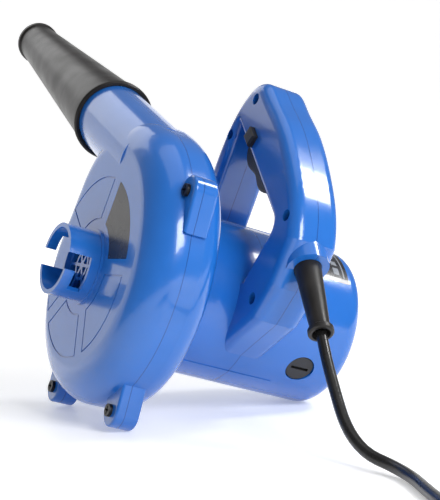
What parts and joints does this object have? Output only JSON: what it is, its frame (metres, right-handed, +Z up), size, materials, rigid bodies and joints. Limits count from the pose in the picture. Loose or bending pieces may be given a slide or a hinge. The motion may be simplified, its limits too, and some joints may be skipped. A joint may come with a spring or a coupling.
{
  "type": "hand-held air blower",
  "caption": "Hand-held electric air blower with a scroll fan housing, long tapered nozzle, loop handle with trigger, and mains lead, lying at rest.",
  "frame": {"origin": "on the floor under the middle of the machine's bounding box, without the mains lead", "axes": "+Z up from the floor; +Y the way the nozzle blows, seen from above; +X from the intake side towards the motor end"},
  "size_m": [0.2525, 0.6925, 0.2491],
  "materials": {
    "blue_shell": "glossy, lightly flecked",
    "nozzle_black": "satin",
    "black_plastic": "satin",
    "sector_black": "satin",
    "impeller_white": "satin",
    "steel": "ground",
    "core_steel": "laminated",
    "copper": "enamelled wire",
    "carbon": "pressed carbon",
    "brass": "stamped",
    "dark_screw": "blackened steel",
    "rubber": "matt",
    "cord_black": "satin",
    "label_black": "printed foil",
    "pin_chrome": "nickel plated",
    "capacitor_box": "satin"
  },
  "bodies": {
    "housing": {"front_cover": "blue_shell", "middle_housing": "blue_shell", "rear_housing": "blue_shell", "sector_panel": "sector_black", "intake_grille": "blue_shell", "stator_core": "core_steel", "field_coils": "copper", "stator_screws": "steel", "front_bearing": "steel", "rear_bearing": "steel", "bearing_cushion": "rubber", "brush_holders": "brass", "brushes": "carbon", "brush_springs": "steel", "brush_caps": "black_plastic", "switch_body": "black_plastic", "trigger_spring": "steel", "capacitor": "capacitor_box", "cord_guard": "rubber", "cord_clamp": "black_plastic", "handle_screws": "dark_screw", "lug_screws": "dark_screw", "rating_label": "label_black", "cord": "cord_black", "cord_coil": "cord_black", "cord_tail": "cord_black", "cord_tie": "black_plastic", "plug_body": "cord_black", "plug_pins": "pin_chrome"},
    "rotor": {"shaft": "steel", "impeller": "impeller_white", "impeller_nut": "steel", "armature_core": "core_steel", "armature_windings": "copper", "commutator": "copper"},
    "trigger": {"trigger": "black_plastic"},
    "lock_button": {"lock_button": "black_plastic"},
    "nozzle": {"nozzle": "nozzle_black"}
  },
  "joints": [
    {"name": "rotor_spin", "type": "hinge", "parent": "housing", "child": "rotor", "pos_m": [-0.07046, -0.0867, 0.08856], "axis": [0.9606, 0, -0.278], "continuous": true},
    {"name": "trigger_squeeze", "type": "slide", "parent": "housing", "child": "trigger", "axis": [0.2199, -0.6115, 0.76], "range_m": [0, 0.005], "stiffness_N_per_m": 400, "springref_m": -0.002, "deforming": ["trigger_spring"]},
    {"name": "lock_press", "type": "slide", "parent": "housing", "child": "lock_button", "axis": [0.9606, 0, -0.278], "range_m": [0, 0.0018], "stiffness_N_per_m": 300, "springref_m": -0.002},
    {"name": "nozzle_pull", "type": "slide", "parent": "housing", "child": "nozzle", "axis": [0.0868, 0.95, 0.3], "range_m": [0, 0.04]}
  ]
}
